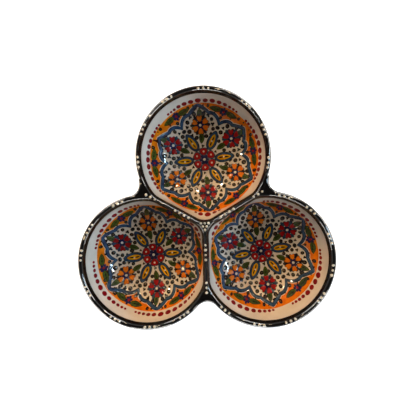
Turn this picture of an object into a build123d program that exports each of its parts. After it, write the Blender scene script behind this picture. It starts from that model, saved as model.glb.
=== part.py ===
from build123d import *
import os
from math import acos, atan2, cos, degrees, radians, sin, sqrt, tan

os.makedirs("parts", exist_ok=True)

# A trefoil serving dish: three thrown bowls, pressed together and luted with
# slip, finished by one coil of clay over every edge and by trailed slip dots.
# Millimetres and degrees. +Z is up, +Y points to the bowl at the back, and the
# origin lies on the table under the middle of the dish's outline.

# Plan of the lips, the dividers and the hub
bowl_radius = 61.0  # outside of one lip, from its bowl's axis
lip_merge = 14.0  # how far two neighbouring lips run into each other
lip_width = 6.0
lip_height = 5.0
lip_round = 2.4  # rounding of the lip's top edges
divider_width = 6.0  # top of the wall that two bowls share
hub_corner_radius = 14.0  # corner of an opening at the middle of the dish
divider_corner_radius = 18.0  # where a divider runs into the round wall
notch_radius = 11.0  # hollow of the web between two lips
notch_overrun = 2.0  # degrees from the end of that hollow to the seam with the lip

# Section of a bowl
bowl_depth = 45.0  # top of the lip down to the middle of the floor
floor_thickness = 7.0
floor_radius = 88.0  # the floor is a shallow cup of this radius
heel_radius = 30.0  # round between floor and wall
wall_run = 4.6  # plan width of the wall, from the end of the heel out to the lip
wall_flare = 28.0  # degrees that the inside leans out there, before the wall turns upright
wall_belly = 0.75  # share of its way out that the wall has come by half its height
outer_flare = 16.0  # degrees that the outside leans out under the lip
shoulder_drop = 14.3  # height of that lean, above the round of the belly

# Feet and luting
foot_height = 6.0
foot_radius = 32.0
foot_width = 5.0
foot_round = 1.0
foot_margin = 2.0  # shoulder of the bowl outside its foot ring
slip_thickness = 0.8  # slip between two flats that are pressed together
web_drop = 22.0  # how far the luting reaches down from under the lip

# Trailed dots on the lips, the dividers and the hub
dot_radius = 1.1
dot_height = 0.6
dot_pitch = 4.4
dots_in_group = 3
lip_groups = {  # middle of each group, in degrees round a lip from the side away from the hub
    "back": (-98, -69, -42, -2, 31, 65, 94),
    "left": (-97, -63, -38, -5, 30, 62, 95),
    "right": (-101, -68, -40, -6, 20, 48, 78, 104),
}
divider_dot_count = 4
notch_dot_count = 3
hub_dot_rows = 3
hub_dot_pitch = 3.4

# Three equal bowls about the hub, and a divider opposite each of them
full_turn = 360
lobes = {"back": 90, "left": 90 + full_turn / 3, "right": 90 - full_turn / 3}
dividers = {"front": lobes["back"] + 180, "right": lobes["left"] + 180, "left": lobes["right"] + 180}
neighbours = {"front": ("left", "right"), "right": ("right", "back"), "left": ("back", "left")}
side_turn = full_turn / 4 / 3  # the way to a neighbour lies this far off the way to the hub

# Places that follow from the driving dimensions
half_spacing = bowl_radius - lip_merge / 2
spread = half_spacing / cos(radians(side_turn))  # hub to a bowl's axis
divider_middle = half_spacing * tan(radians(side_turn))  # hub to a divider's middle
centre_y = -spread / 4  # brings the middle of the outline to the origin
opening_radius = bowl_radius - lip_width
flat_inside = half_spacing - divider_width / 2
flat_outside = half_spacing - slip_thickness / 2
floor_top = foot_height + floor_thickness
height = floor_top + bowl_depth
lip_base = height - lip_height
web_base = lip_base - web_drop
coil_round = min(lip_round, 0.48 * min(lip_width, divider_width), 0.9 * lip_height)
foot_edge = min(foot_round, 0.45 * foot_width)

# Section of the cavity: a floor arc and a heel arc, tangent to each other, up to the wall's foot
floor_centre = floor_top + floor_radius
wall_foot_radius = opening_radius - wall_run
heel_r = wall_foot_radius - heel_radius * cos(radians(wall_flare))
heel_z = floor_centre - sqrt((floor_radius - heel_radius) ** 2 - heel_r**2)
floor_turn = degrees(atan2(heel_r, floor_centre - heel_z))
heel_turn = 90 - floor_turn - wall_flare
wall_foot = heel_z - heel_radius * sin(radians(wall_flare))
wall_middle = (wall_foot + lip_base) / 2
belly_radius = wall_foot_radius + wall_belly * wall_run
shoulder_r = bowl_radius - shoulder_drop * tan(radians(outer_flare))
shoulder_z = lip_base - shoulder_drop

# Plan of an opening, and of the hollow between two lips
corner_offset = flat_inside - divider_corner_radius
flat_hub_end = (flat_inside - hub_corner_radius) * tan(radians(side_turn))
hub_corner_x = (flat_inside - hub_corner_radius) / cos(radians(side_turn))
notch_turn = degrees(acos(half_spacing / (bowl_radius + notch_radius)))
notch_centre = divider_middle + (bowl_radius + notch_radius) * sin(radians(notch_turn))
notch_end = divider_middle + bowl_radius * sin(radians(notch_turn))
notch_sharp = divider_middle + sqrt(bowl_radius**2 - half_spacing**2)
hub_reach = divider_middle - flat_hub_end
seam_turn = notch_turn + notch_overrun
up = Vector(0, 0, 1)
hub = Vector(0, centre_y, 0)


def outward(angle):
    """Level direction, as an angle about the hub."""
    return Vector(cos(radians(angle)), sin(radians(angle)), 0)


def axis_of(lobe):
    """A bowl's upright axis."""
    return Axis(hub + outward(lobes[lobe]) * spread, up)


def lobe_plan(lobe, z):
    """Level plane on a bowl's axis, with X towards the hub."""
    return Plane(axis_of(lobe).position + up * z, x_dir=-outward(lobes[lobe]), z_dir=up)


def lobe_section(lobe):
    """Upright plane through a bowl's axis: X is the radius and Y the height."""
    radius_way = -outward(lobes[lobe])
    return Plane(axis_of(lobe).position, x_dir=radius_way, z_dir=radius_way.cross(up))


def divider_plan(divider, z):
    """Level plane on the hub, with X along a divider."""
    return Plane(hub + up * z, x_dir=outward(dividers[divider]), z_dir=up)


def turned(x, y, angle):
    """Point turned about the origin of its plane."""
    turn = radians(angle)
    return (x * cos(turn) - y * sin(turn), x * sin(turn) + y * cos(turn))


def on_circle(radius, angle):
    """Point of a circle about the origin of its plane."""
    return turned(radius, 0, angle)


def centred(count, step):
    """Evenly spaced places about zero."""
    return [(index - (count - 1) / 2) * step for index in range(count)]


def flat_end(radius):
    """Length of a flat past its middle, where the round wall has this radius."""
    return sqrt((radius - divider_corner_radius) ** 2 - corner_offset**2)


def opening_corners(radius):
    """Ends of an opening's lines and arcs, from one divider's corner to the other's."""
    corner_turn = degrees(atan2(flat_end(radius), corner_offset))
    one_side = [
        on_circle(radius, side_turn + corner_turn),
        turned(flat_inside, flat_end(radius), side_turn),
        turned(flat_inside, -flat_hub_end, side_turn),
    ]
    return one_side + [(x, -y) for x, y in reversed(one_side)]


def draw_opening(radius):
    """Outline of an opening: the round wall, two flats and a rounded corner at the hub."""
    a, b, c, d, e, f = opening_corners(radius)
    corner_turn = degrees(atan2(flat_end(radius), corner_offset))
    corner_way = on_circle(divider_corner_radius, corner_turn / 2)
    upper = turned(corner_offset + corner_way[0], flat_end(radius) + corner_way[1], side_turn)
    outermost = (-radius, 0)
    half_way = (180 + side_turn + corner_turn) / 2
    ThreePointArc(a, upper, b)
    Line(b, c)
    ThreePointArc(c, (hub_corner_x + hub_corner_radius, 0), d)
    Line(d, e)
    ThreePointArc(e, (upper[0], -upper[1]), f)
    ThreePointArc(f, on_circle(radius, -half_way), outermost)
    ThreePointArc(outermost, on_circle(radius, half_way), a)


def draw_wall_foot():
    """Circle at the foot of the wall, in arcs that lie under those of the opening."""
    turns = [degrees(atan2(y, x)) for x, y in opening_corners(opening_radius)]
    turns = turns + [-180, turns[0] - 360]
    for start, end in zip(turns, turns[1:]):
        ends = [on_circle(wall_foot_radius, turn) for turn in (start, (start + end) / 2, end)]
        ThreePointArc(*ends)


divider_reach = divider_middle + flat_end(opening_radius)

# The bowls: turned forms, flattened where they meet their neighbours, then hollowed
blanks = {}
for lobe in lobes:
    with BuildPart() as blank:
        with BuildSketch(lobe_section(lobe)):
            with BuildLine():
                seat = (foot_radius + foot_margin, foot_height)
                wall = Polyline((0, lip_base), (bowl_radius, lip_base), (shoulder_r, shoulder_z))
                TangentArc(wall @ 1, seat, tangent=wall % 1)
                Polyline(seat, (0, foot_height), (0, lip_base))
            make_face()
        revolve(axis=axis_of(lobe))
        for side in (side_turn, -side_turn):
            way = outward(lobes[lobe] + 180 + side)
            flat = Plane(axis_of(lobe).position + way * flat_outside, z_dir=way)
            split(bisect_by=flat, keep=Keep.BOTTOM)
    blanks[lobe] = blank.part

    with BuildPart() as bowl:
        add(blank.part)
        with BuildSketch(lobe_section(lobe)):
            with BuildLine():
                floor_arc = CenterArc((0, floor_centre), floor_radius, -90, floor_turn)
                heel_arc = CenterArc((heel_r, heel_z), heel_radius, floor_turn - 90, heel_turn)
                Polyline(heel_arc @ 1, (0, wall_foot), floor_arc @ 0)
            make_face()
        revolve(axis=axis_of(lobe), mode=Mode.SUBTRACT)
        with BuildSketch(lobe_plan(lobe, wall_foot)):
            with BuildLine():
                draw_wall_foot()
            make_face()
        with BuildSketch(lobe_plan(lobe, wall_middle)):
            with BuildLine():
                draw_opening(belly_radius)
            make_face()
        with BuildSketch(lobe_plan(lobe, lip_base)):
            with BuildLine():
                draw_opening(opening_radius)
            make_face()
        loft(ruled=True, mode=Mode.SUBTRACT)
    bowl.part.label = f"bowl_{lobe}"
    export_step(bowl.part, f"parts/bowl_{lobe}.step")

    with BuildPart() as foot_ring:
        with BuildSketch(lobe_plan(lobe, 0)):
            Circle(foot_radius)
            Circle(foot_radius - foot_width, mode=Mode.SUBTRACT)
        extrude(amount=foot_height)
        fillet(foot_ring.edges().group_by(Axis.Z)[0], foot_edge)
    foot_ring.part.label = f"foot_ring_{lobe}"
    export_step(foot_ring.part, f"parts/foot_ring_{lobe}.step")

# The luting: slip between two flats, swelling into the hub and the hollow between two lips
for divider in dividers:
    with BuildPart() as joint_web:
        with BuildSketch(divider_plan(divider, web_base)):
            with BuildLine():
                x, y = on_circle(half_spacing, 60)
                Polyline((0, 0), (x, y), (notch_end, y), (notch_end, -y), (x, -y), close=True)
            make_face()
            with Locations((notch_centre, 0)):
                Circle(notch_radius, mode=Mode.SUBTRACT)
        extrude(amount=web_drop)
        along = outward(dividers[divider])
        slope = along * (notch_end - divider_middle) + up * web_drop
        lowest = hub + along * divider_middle + up * web_base
        split(bisect_by=Plane(lowest, z_dir=slope.cross(up).cross(slope)), keep=Keep.TOP)
        for lobe in neighbours[divider]:
            add(blanks[lobe], mode=Mode.SUBTRACT)
    joint_web.part.label = f"joint_web_{divider}"
    export_step(joint_web.part, f"parts/joint_web_{divider}.step")

# The coil over every edge, shaped as a whole and parted where its lengths meet
with BuildPart() as coil:
    with BuildSketch(Plane.XY.offset(lip_base)) as coil_plan:
        for lobe in lobes:
            with Locations(axis_of(lobe).position):
                Circle(bowl_radius)
        with Locations(hub):
            Circle(hub_reach)
        away = {vertex: (Vector(*vertex) - hub).length for vertex in coil_plan.vertices()}
        hollows = [vertex for vertex in away if abs(away[vertex] - notch_sharp) < slip_thickness]
        fillet(hollows, notch_radius)
    extrude(amount=lip_height)
    for lobe in lobes:
        with BuildSketch(lobe_plan(lobe, lip_base)):
            with BuildLine():
                draw_opening(opening_radius)
            make_face()
        extrude(amount=lip_height, mode=Mode.SUBTRACT)
    fillet(coil.edges().group_by(Axis.Z)[-1], coil_round)

wedge_x = 2 * bowl_radius
wedge_y = wedge_x * tan(radians(side_turn + seam_turn))
for lobe in lobes:
    with BuildPart() as lip:
        add(coil.part)
        with BuildSketch(lobe_plan(lobe, lip_base)):
            Circle(bowl_radius + lip_width)
            with BuildLine():
                Polyline((0, 0), (wedge_x, wedge_y), (wedge_x, -wedge_y), close=True)
            make_face(mode=Mode.SUBTRACT)
        extrude(amount=lip_height, mode=Mode.INTERSECT)
    lip.part.label = f"lip_{lobe}"
    export_step(lip.part, f"parts/lip_{lobe}.step")

for divider in dividers:
    with BuildPart() as divider_cap:
        add(coil.part)
        with BuildSketch(divider_plan(divider, lip_base)):
            with Locations(((hub_reach + divider_reach) / 2, 0)):
                Rectangle(divider_reach - hub_reach, 2 * divider_width)
        extrude(amount=lip_height, mode=Mode.INTERSECT)
    divider_cap.part.label = f"divider_cap_{divider}"
    export_step(divider_cap.part, f"parts/divider_cap_{divider}.step")

    with BuildPart() as notch_cap:
        add(coil.part)
        with BuildSketch(divider_plan(divider, lip_base)):
            with BuildLine():
                tip_x = divider_middle + half_spacing * tan(radians(seam_turn))
                side = (tip_x - divider_reach) / tan(radians(seam_turn))
                Polyline((divider_reach, side), (divider_reach, -side), (tip_x, 0), close=True)
            make_face()
        extrude(amount=lip_height, mode=Mode.INTERSECT)
    notch_cap.part.label = f"notch_cap_{divider}"
    export_step(notch_cap.part, f"parts/notch_cap_{divider}.step")

with BuildPart() as hub_cap:
    add(coil.part)
    with BuildSketch(Plane.XY.offset(lip_base)):
        with Locations(hub):
            RegularPolygon(hub_reach, len(lobes), major_radius=False, rotation=lobes["back"])
    extrude(amount=lip_height, mode=Mode.INTERSECT)
hub_cap.part.label = "hub_cap"
export_step(hub_cap.part, "parts/hub_cap.step")

# The dots: caps of spheres, bedded on the coil
dot_sphere = (dot_radius**2 + dot_height**2) / (2 * dot_height)
dot_level = height + dot_height - dot_sphere
crest_radius = bowl_radius - lip_width / 2
dot_turn = degrees(dot_pitch / crest_radius)

for lobe in lobes:
    groups = lip_groups[lobe]
    turns = [180 + group + dot for group in groups for dot in centred(dots_in_group, dot_turn)]
    with BuildPart() as lip_dots:
        with Locations(lobe_plan(lobe, dot_level)):
            with Locations([on_circle(crest_radius, turn) for turn in turns]):
                Sphere(dot_sphere)
        add(coil.part, mode=Mode.SUBTRACT)
    lip_dots.part.label = f"lip_dots_{lobe}"
    export_step(lip_dots.part, f"parts/lip_dots_{lobe}.step")

for divider in dividers:
    along_divider = [hub_reach + (index + 1.5) * dot_pitch for index in range(divider_dot_count)]
    along_notch = [divider_reach + (index + 0.5) * dot_pitch for index in range(notch_dot_count)]
    with BuildPart() as divider_dots:
        with Locations(divider_plan(divider, dot_level)):
            with Locations([(x, 0) for x in along_divider + along_notch]):
                Sphere(dot_sphere)
        add(coil.part, mode=Mode.SUBTRACT)
    divider_dots.part.label = f"divider_dots_{divider}"
    export_step(divider_dots.part, f"parts/divider_dots_{divider}.step")

with BuildPart() as hub_dots:
    with Locations(Plane(hub + up * dot_level)):
        row_step = hub_dot_pitch * cos(radians(side_turn))
        for row, y in enumerate(centred(hub_dot_rows, -row_step)):
            with Locations([(x, y) for x in centred(hub_dot_rows - row, hub_dot_pitch)]):
                Sphere(dot_sphere)
    add(coil.part, mode=Mode.SUBTRACT)
hub_dots.part.label = "hub_dots"
export_step(hub_dots.part, "parts/hub_dots.step")
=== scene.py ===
# %% [markdown]
# # A trefoil serving dish, thrown, luted and painted
# The dish is three thrown bowls pressed together, with one black glazed coil over
# every edge, trailed white dots on the coil, and a painted flower medallion in each
# bowl. The frame brings the solids at their real size. This script keeps the foot
# rings and the luting, and makes the glazed and painted surfaces anew, each as a
# formula on a grid, in the same place.

# %% Load the frame
import bpy
import numpy as np
from mathutils import Matrix, Vector


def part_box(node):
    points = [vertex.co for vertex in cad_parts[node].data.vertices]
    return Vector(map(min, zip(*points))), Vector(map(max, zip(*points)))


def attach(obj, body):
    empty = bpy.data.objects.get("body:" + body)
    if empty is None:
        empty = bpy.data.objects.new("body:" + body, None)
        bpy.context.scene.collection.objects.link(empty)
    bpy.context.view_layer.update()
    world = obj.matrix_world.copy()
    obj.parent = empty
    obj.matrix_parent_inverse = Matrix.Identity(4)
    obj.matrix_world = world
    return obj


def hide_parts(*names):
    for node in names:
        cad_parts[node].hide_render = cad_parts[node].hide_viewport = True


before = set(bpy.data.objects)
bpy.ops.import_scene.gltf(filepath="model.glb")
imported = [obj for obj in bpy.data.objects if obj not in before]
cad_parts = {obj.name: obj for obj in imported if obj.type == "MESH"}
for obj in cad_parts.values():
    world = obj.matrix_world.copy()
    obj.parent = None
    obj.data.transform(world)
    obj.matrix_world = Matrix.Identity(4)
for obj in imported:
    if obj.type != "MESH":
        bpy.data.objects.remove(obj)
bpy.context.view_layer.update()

bpy.context.scene.view_settings.view_transform = "Standard"

# %% [markdown]
# ## Where things are
# All shapes below are worked out in millimetres and degrees, because a potter thinks
# in them, and are turned into metres only when a mesh is made. Places come from the
# frame: each bowl's axis from its foot ring, and the lip's levels from the lip.

# %% Axes and levels from the frame
MM = 0.001
LOBES = ("back", "left", "right")


def corners(node):
    """Lowest and highest corner of a node, in millimetres."""
    return [np.array(corner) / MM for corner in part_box(node)]


axes = {lobe: np.mean(corners(f"foot_ring_{lobe}"), axis=0)[:2] for lobe in LOBES}
hub = np.mean(list(axes.values()), axis=0)
lip_base, lip_top = corners("lip_back")[0][2], corners("lip_back")[1][2]
lip_radius = corners("lip_back")[1][1] - axes["back"][1]
bowl_base = corners("bowl_back")[0][2]
foot_radius = corners("foot_ring_back")[1][0]
half_spacing = np.linalg.norm(axes["left"] - axes["right"]) / 2
toward_hub = {lobe: np.degrees(np.arctan2(*(hub - axes[lobe])[::-1])) for lobe in LOBES}
print("lip radius", round(lip_radius, 2), "levels", lip_base, lip_top)

# %% [markdown]
# ## The camera
# The camera looks almost straight down. Its place was worked out from how far the
# painted floors shift against the lips: a nearer camera would shift them more.

# %% Camera
camera_place = np.array([13.9, 16.4, 398.2])
camera_lens, camera_film, camera_near = 33.6, 36.0, 10 * MM
camera_pitch, camera_roll, camera_yaw = np.radians([-2.68, 1.72, -1.52])

camera = bpy.data.objects.new("camera", bpy.data.cameras.new("camera"))
bpy.context.scene.collection.objects.link(camera)
camera.data.lens = camera_lens
camera.data.sensor_width = camera_film
camera.data.clip_start = camera_near
turn = Matrix.Rotation(camera_yaw, 4, "Z") @ Matrix.Rotation(camera_pitch, 4, "X")
turn = turn @ Matrix.Rotation(camera_roll, 4, "Y")
camera.matrix_world = Matrix.Translation(camera_place * MM) @ turn
bpy.context.scene.camera = camera
print("camera at", camera_place, "mm")

# %% [markdown]
# ## From a grid to a mesh
# Every new surface is a grid of points: rows run along a profile and columns run
# round. Two helpers are enough: one numbers the faces of a grid, and one hands the
# arrays to Blender in one go, which is far quicker than adding faces one by one.

# %% Mesh helpers
SHARP_ANGLE = np.radians(50)


def grid_faces(rows, columns, wrap_rows=False):
    """Quads of a grid that closes round its columns, with the upper side outwards."""
    row = np.arange(rows if wrap_rows else rows - 1)[:, None]
    column = np.arange(columns)[None, :]
    next_row, next_column = (row + 1) % rows, (column + 1) % columns
    quads = [row * columns + column, next_row * columns + column]
    quads += [next_row * columns + next_column, row * columns + next_column]
    return np.stack(np.broadcast_arrays(*quads), -1).reshape(-1, 4)


def pole_faces(pole, ring, outward=True):
    """Triangles from a pole to the ring of points about it."""
    others = np.roll(ring, -1)
    poles = np.full_like(ring, pole)
    order = [poles, ring, others] if outward else [poles, others, ring]
    return np.stack(order, -1)


def make_piece(name, points, faces, material, replaces=(), attribute=None):
    """One object from points in millimetres and lists of faces, riding on the dish."""
    mesh = bpy.data.meshes.new(name)
    places = np.asarray(points, np.float64).reshape(-1, 3) * MM
    sizes = np.concatenate([np.full(len(part), part.shape[1]) for part in faces])
    loops = np.concatenate([part.ravel() for part in faces]).astype(np.int32)
    mesh.vertices.add(len(places))
    mesh.vertices.foreach_set("co", places.ravel())
    mesh.loops.add(len(loops))
    mesh.loops.foreach_set("vertex_index", loops)
    mesh.polygons.add(len(sizes))
    mesh.polygons.foreach_set("loop_start", (np.cumsum(sizes) - sizes).astype(np.int32))
    mesh.update(calc_edges=True)
    mesh.validate()
    mesh.shade_smooth()
    mesh.set_sharp_from_angle(angle=SHARP_ANGLE)
    if attribute is not None:
        layer = mesh.attributes.new(attribute[0], "FLOAT", "POINT")
        layer.data.foreach_set("value", np.asarray(attribute[1], np.float32).ravel())
    mesh.materials.append(material)
    piece = bpy.data.objects.new(name, mesh)
    bpy.context.scene.collection.objects.link(piece)
    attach(piece, "root")
    if replaces:
        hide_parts(*replaces)
    print(name, len(places), "points", len(sizes), "faces")


# %% [markdown]
# ## Glazes
# All colours lie under one clear, glossy glaze, so one function makes them all: a
# colour that drifts between two tones over a few millimetres, as brushed pigment
# does, with a slightly rippled gloss. The ripple is bump, because it is only a few
# hundredths of a millimetre deep. Object coordinates keep it fixed to the dish.

# %% The glaze function
tone_detail, dark_end, light_start = 5, 0.32, 0.62
coat_roughness, pigment_gloss = 0.03, 0.05


def set_inputs(node, values):
    """Values of a node's inputs, by socket."""
    for socket, value in values.items():
        node.inputs[socket].default_value = value


def new_node(tree, kind, values=None, **settings):
    """Shader node: its settings are made first, because they decide which inputs it has."""
    node = tree.nodes.new(f"ShaderNode{kind}")
    for setting, value in settings.items():
        setattr(node, setting, value)
    set_inputs(node, values or {})
    return node


def wire(tree, start, output, end, socket):
    """Link from a node's output to a node's input."""
    tree.links.new(start.outputs[output], end.inputs[socket])


def srgb(red, green, blue):
    """Linear colour from the three numbers of a colour picker."""
    value = np.array([red, green, blue]) / 255
    return tuple(np.where(value <= 0.04045, value / 12.92, ((value + 0.055) / 1.055) ** 2.4))


def glaze(name, light, dark, grain=220, rough=0.3, ripple=0.05, coat=0.6, swell=90, depth=1 * MM):
    """Glossy pigment: two tones mixed by noise, and a bump from a second noise, the swell."""
    material = bpy.data.materials.new(name)
    material.use_nodes = True
    tree = material.node_tree
    shader = tree.nodes["Principled BSDF"]
    place = new_node(tree, "TexCoord")
    drift = new_node(tree, "TexNoise", {"Scale": grain, "Detail": tone_detail})
    tones = new_node(tree, "ValToRGB")
    ends = ((dark_end, dark), (light_start, light))
    for stop, (position, colour) in zip(tones.color_ramp.elements, ends):
        stop.position = position
        stop.color = (*srgb(*colour), 1)
    slow = new_node(tree, "TexNoise", {"Scale": swell})
    bump = new_node(tree, "Bump", {"Strength": ripple, "Distance": depth})
    wire(tree, place, "Object", drift, "Vector")
    wire(tree, place, "Object", slow, "Vector")
    wire(tree, drift, "Fac", tones, "Fac")
    wire(tree, tones, "Color", shader, "Base Color")
    wire(tree, slow, "Fac", bump, "Height")
    wire(tree, bump, "Normal", shader, "Normal")
    set_inputs(shader, {"Roughness": rough, "Specular IOR Level": pigment_gloss})
    set_inputs(shader, {"Coat Weight": coat, "Coat Roughness": coat_roughness})
    return material


white_glaze = glaze("white_glaze", (224, 214, 200), (212, 200, 183), grain=60, ripple=0.04)
red_enamel = glaze("red_enamel", (172, 10, 8), (128, 2, 4))
dot_red = glaze("dot_red", (135, 4, 16), (100, 0, 10))
orange_enamel = glaze("orange_enamel", (232, 126, 6), (208, 98, 0))
yellow_enamel = glaze("yellow_enamel", (240, 178, 6), (212, 142, 0))
blue_enamel = glaze("blue_enamel", (46, 80, 114), (22, 44, 74))
teal_enamel = glaze("teal_enamel", (40, 64, 86), (20, 36, 54))
navy_enamel = glaze("navy_enamel", (22, 22, 78), (10, 10, 42))
green_enamel = glaze("green_enamel", (70, 90, 24), (40, 54, 10))
ink = glaze("ink", (12, 8, 6), (5, 3, 3))
brown_ink = glaze("brown_ink", (112, 88, 56), (66, 48, 28))
white_slip = glaze("white_slip", (226, 219, 204), (206, 196, 176))
print("glazes made")

# %% [markdown]
# ## The plan of an opening
# Seen from above an opening is a circle with two flats, where the bowl was pressed
# against its neighbours. A polar formula is simplest: one reach for each direction,
# put together from the round wall, the corner arc, the flat and the hub corner.

# %% Opening and outline in polar form
lip_width, divider_width, slip_thickness, back_narrowing = 6.0, 6.0, 0.8, 1.3
opening_radius = lip_radius - lip_width
side_turn = np.radians(30.0)
flat_inside = half_spacing - divider_width / 2
flat_outside = half_spacing - slip_thickness / 2
hub_corner_radius, divider_corner_radius, notch_radius = 14.0, 18.0, 11.0

corner_offset = flat_inside - divider_corner_radius
corner_along = np.sqrt((opening_radius - divider_corner_radius) ** 2 - corner_offset**2)
corner_turn = np.arctan2(corner_along, corner_offset)
hub_corner_x = (flat_inside - hub_corner_radius) / np.cos(side_turn)
hub_corner_along = (flat_inside - hub_corner_radius) * np.tan(side_turn)
notch_turn = np.arccos(half_spacing / (lip_radius + notch_radius))
hollow_along = half_spacing * np.tan(notch_turn) - notch_radius
ANGLES = np.radians(np.arange(0.0, 360.0, 0.75))


def off_hub(lobe, angle):
    """Angle from the way to the hub, without its sign."""
    turn = angle - np.radians(toward_hub[lobe])
    return np.abs((turn + np.pi) % (2 * np.pi) - np.pi)


def along_ray(turn, distance, radius, side):
    """Where a ray meets a circle whose centre lies at a turn and distance from its start."""
    half_chord = np.sqrt(np.maximum(radius**2 - (distance * np.sin(turn)) ** 2, 0))
    return distance * np.cos(turn) + side * half_chord


def opening_reach(lobe, angle):
    """Axis to the opening's edge: round wall, divider corner, flat or hub corner, by direction."""
    off = off_hub(lobe, angle)
    hub_arc_end = side_turn - np.arctan2(hub_corner_along, flat_inside)
    flat_end = side_turn + np.arctan2(corner_along, flat_inside)
    round_start = side_turn + corner_turn
    corner_far = opening_radius - divider_corner_radius
    pieces = [along_ray(off, hub_corner_x, hub_corner_radius, 1)]
    pieces += [flat_inside / np.cos(off - side_turn)]
    pieces += [along_ray(off - round_start, corner_far, divider_corner_radius, 1)]
    where = [off < hub_arc_end, off < flat_end, off < round_start]
    return np.select(where, pieces, opening_radius)


def free_reach(lobe, angle):
    """Outside of a lip: a circle, but a little narrower at the sides of the bowl at the back."""
    narrow = back_narrowing if lobe == "back" else 0.0
    return lip_radius - narrow * np.cos(angle) ** 2


def cell_reach(lobe, angle):
    """Axis to the end of a bowl's share of the coil: middle of a divider, hollow, or free lip."""
    off = off_hub(lobe, angle)
    hollow_start = side_turn + np.arctan2(hollow_along, half_spacing)
    middle = half_spacing / np.cos(np.minimum(off, hollow_start) - side_turn)
    hollow = along_ray(off - side_turn - notch_turn, lip_radius + notch_radius, notch_radius, -1)
    where = [off < hollow_start, off < side_turn + notch_turn]
    return np.select(where, [middle, hollow], free_reach(lobe, angle))


print("opening", round(opening_radius, 2), "hollow of a notch", round(notch_radius, 2))

# %% [markdown]
# ## The section of a bowl
# A thrown bowl has one section all round: a shallow floor arc, a tighter heel arc that
# is tangent to it, and a wall that leaves the heel at a slant and turns upright on its
# way to the opening. Plan radius and angle are the parameters, so a pattern that is
# drawn flat can be laid on the bowl by looking up its height.

# %% Floor, heel and wall
floor_thickness, floor_radius, heel_radius = 7.0, 88.0, 30.0
wall_run, wall_flare, wall_power = 4.6, np.radians(28.0), 2.2
share_step, highest_mark, tiny = 0.02, 0.9, 1e-6  # step for a slope, and limits

floor_top = bowl_base + floor_thickness
wall_r = opening_radius - wall_run
floor_centre = floor_top + floor_radius
heel_r = wall_r - heel_radius * np.cos(wall_flare)
heel_z = floor_centre - np.sqrt((floor_radius - heel_radius) ** 2 - heel_r**2)
floor_turn = np.arctan2(heel_r, floor_centre - heel_z)
floor_end = floor_radius * np.sin(floor_turn)
wall_z = heel_z - heel_radius * np.sin(wall_flare)
wall_height = lip_base - wall_z


def section(radius):
    """Height of floor and heel at a plan radius, and the two parts of the inward normal."""
    on_floor = radius <= floor_end
    centre_r = np.where(on_floor, 0.0, heel_r)
    centre_z = np.where(on_floor, floor_centre, heel_z)
    size = np.where(on_floor, floor_radius, heel_radius)
    height = centre_z - np.sqrt(size**2 - (radius - centre_r) ** 2)
    return height, (centre_r - radius) / size, (centre_z - height) / size


def about_axis(lobe, radius, angle, level):
    """Points at a radius and an angle about a bowl's axis, at a level."""
    x, y = axes[lobe][0] + radius * np.cos(angle), axes[lobe][1] + radius * np.sin(angle)
    return np.stack([x, y, level], -1)


def wall_radius(lobe, angle, share):
    """Axis to the wall at a share of its height: wide steps at first, then upright, by a power."""
    return wall_r + (opening_reach(lobe, angle) - wall_r) * (1 - (1 - share) ** wall_power)


def on_wall(lobe, angle, share, lift):
    """Points of the wall at an angle and a share of its height, raised along the inward normal."""
    share = np.clip(share, 0, 1 - share_step)
    radius = wall_radius(lobe, angle, share)
    run = (wall_radius(lobe, angle, share + share_step) - radius) / (share_step * wall_height)
    steep = np.hypot(1, run)
    level = wall_z + share * wall_height + lift * run / steep
    return about_axis(lobe, radius - lift / steep, angle, level)


def on_glaze(lobe, x, y, lift):
    """Points of the bowl's inside over plan places about its axis, raised along the normal."""
    radius = np.maximum(np.hypot(x, y), tiny)
    height, normal_r, normal_z = section(np.minimum(radius, wall_r))
    way = 1 + normal_r * lift / radius
    level = height + normal_z * lift
    low = np.stack([axes[lobe][0] + x * way, axes[lobe][1] + y * way, level], -1)
    angle = np.arctan2(y, x)
    part = (radius - wall_r) / (opening_reach(lobe, angle) - wall_r)
    share = 1 - (1 - np.clip(part, 0, highest_mark)) ** (1 / wall_power)
    return np.where((radius > wall_r)[..., None], on_wall(lobe, angle, share, lift), low)


print("wall foot", round(wall_r, 2), round(wall_z, 2), "floor arc to", round(floor_end, 2))

# %% [markdown]
# ## The bowls
# One grid makes a whole bowl: its rows go from the middle of the floor up the wall,
# over the rim, down the outside and under the base to the axis. The wall is curved on
# the free side and nearly flat against a divider.

# %% Bowl surfaces
floor_rows, heel_rows, wall_rows, outside_rows = 26, 22, 10, 26
outer_flare, shoulder_drop, foot_margin = np.radians(16.0), 14.3, 2.0
least_facing = 0.3  # cosine under which a flat lies out of the bowl's reach
shoulder_r = lip_radius - shoulder_drop * np.tan(outer_flare)
shoulder_z = lip_base - shoulder_drop
seat_r = foot_radius + foot_margin


def outside_section(count):
    """Outside profile: the flared wall, then an arc tangent to it down to the seat of the foot."""
    chord = np.array([seat_r - shoulder_r, bowl_base - shoulder_z])
    inward = np.array([-np.cos(outer_flare), np.sin(outer_flare)])
    radius = chord @ chord / (2 * chord @ inward)
    centre = np.array([shoulder_r, shoulder_z]) + inward * radius
    first = np.arctan2(shoulder_z - centre[1], shoulder_r - centre[0])
    last = np.arctan2(bowl_base - centre[1], seat_r - centre[0])
    turn = np.linspace(first, last, count)
    arc = centre + radius * np.stack([np.cos(turn), np.sin(turn)], -1)
    return np.vstack([[lip_radius, lip_base], arc])


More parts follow.
